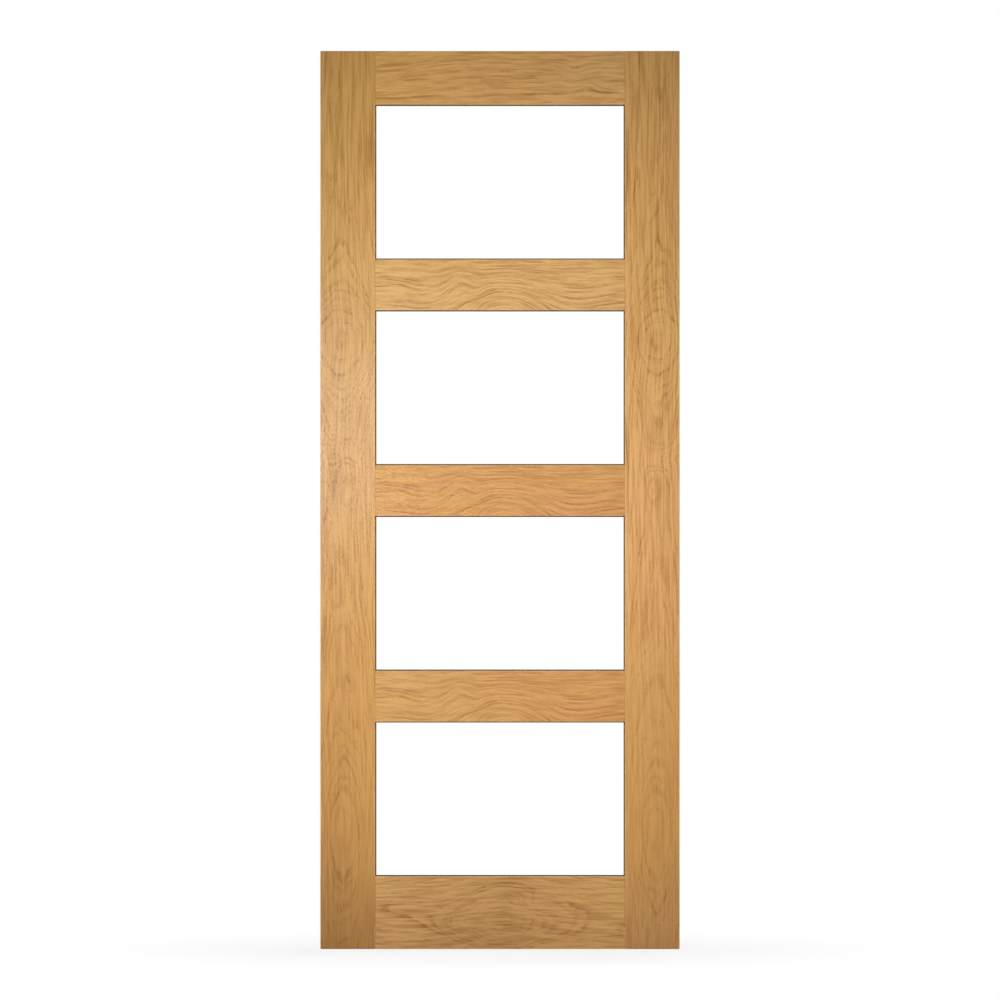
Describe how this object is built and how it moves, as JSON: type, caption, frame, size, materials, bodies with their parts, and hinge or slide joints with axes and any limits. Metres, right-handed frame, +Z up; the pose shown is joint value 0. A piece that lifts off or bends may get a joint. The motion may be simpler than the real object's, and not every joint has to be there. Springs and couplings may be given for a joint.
{
  "type": "glazed fire door leaf",
  "caption": "Oak-faced timber fire door leaf with a column of clear fire-glass panes, square-edged stiles and rails, and mitred glazing beads on the back.",
  "frame": {"origin": "on the hanging edge, at mid-thickness, at the foot of the leaf", "axes": "+X across the leaf from the hanging edge to the lock edge, +Y from the front face to the bead side, +Z up"},
  "size_m": [0.813, 0.044, 2.032],
  "materials": {
    "oak_face": "crown-cut oak, clear matt lacquer",
    "oak_lipping": "solid oak, clear matt lacquer",
    "oak_bead": "solid oak, clear matt lacquer",
    "fire_glass": "clear polished",
    "glazing_tape": "matt dark brown"
  },
  "bodies": {
    "root": {"back_glazing_tape_1": "glazing_tape", "back_glazing_tape_2": "glazing_tape", "back_glazing_tape_3": "glazing_tape", "back_glazing_tape_4": "glazing_tape", "bottom_rail": "oak_face", "front_glazing_tape_1": "glazing_tape", "front_glazing_tape_2": "glazing_tape", "front_glazing_tape_3": "glazing_tape", "front_glazing_tape_4": "glazing_tape", "glass_pane_1": "fire_glass", "glass_pane_2": "fire_glass", "glass_pane_3": "fire_glass", "glass_pane_4": "fire_glass", "left_edge_lipping": "oak_lipping", "left_stile": "oak_face", "mid_rail_1": "oak_face", "mid_rail_2": "oak_face", "mid_rail_3": "oak_face", "pane_1_bottom_bead": "oak_bead", "pane_1_left_bead": "oak_bead", "pane_1_right_bead": "oak_bead", "pane_1_top_bead": "oak_bead", "pane_2_bottom_bead": "oak_bead", "pane_2_left_bead": "oak_bead", "pane_2_right_bead": "oak_bead", "pane_2_top_bead": "oak_bead", "pane_3_bottom_bead": "oak_bead", "pane_3_left_bead": "oak_bead", "pane_3_right_bead": "oak_bead", "pane_3_top_bead": "oak_bead", "pane_4_bottom_bead": "oak_bead", "pane_4_left_bead": "oak_bead", "pane_4_right_bead": "oak_bead", "pane_4_top_bead": "oak_bead", "right_edge_lipping": "oak_lipping", "right_stile": "oak_face", "top_rail": "oak_face"}
  },
  "joints": []
}
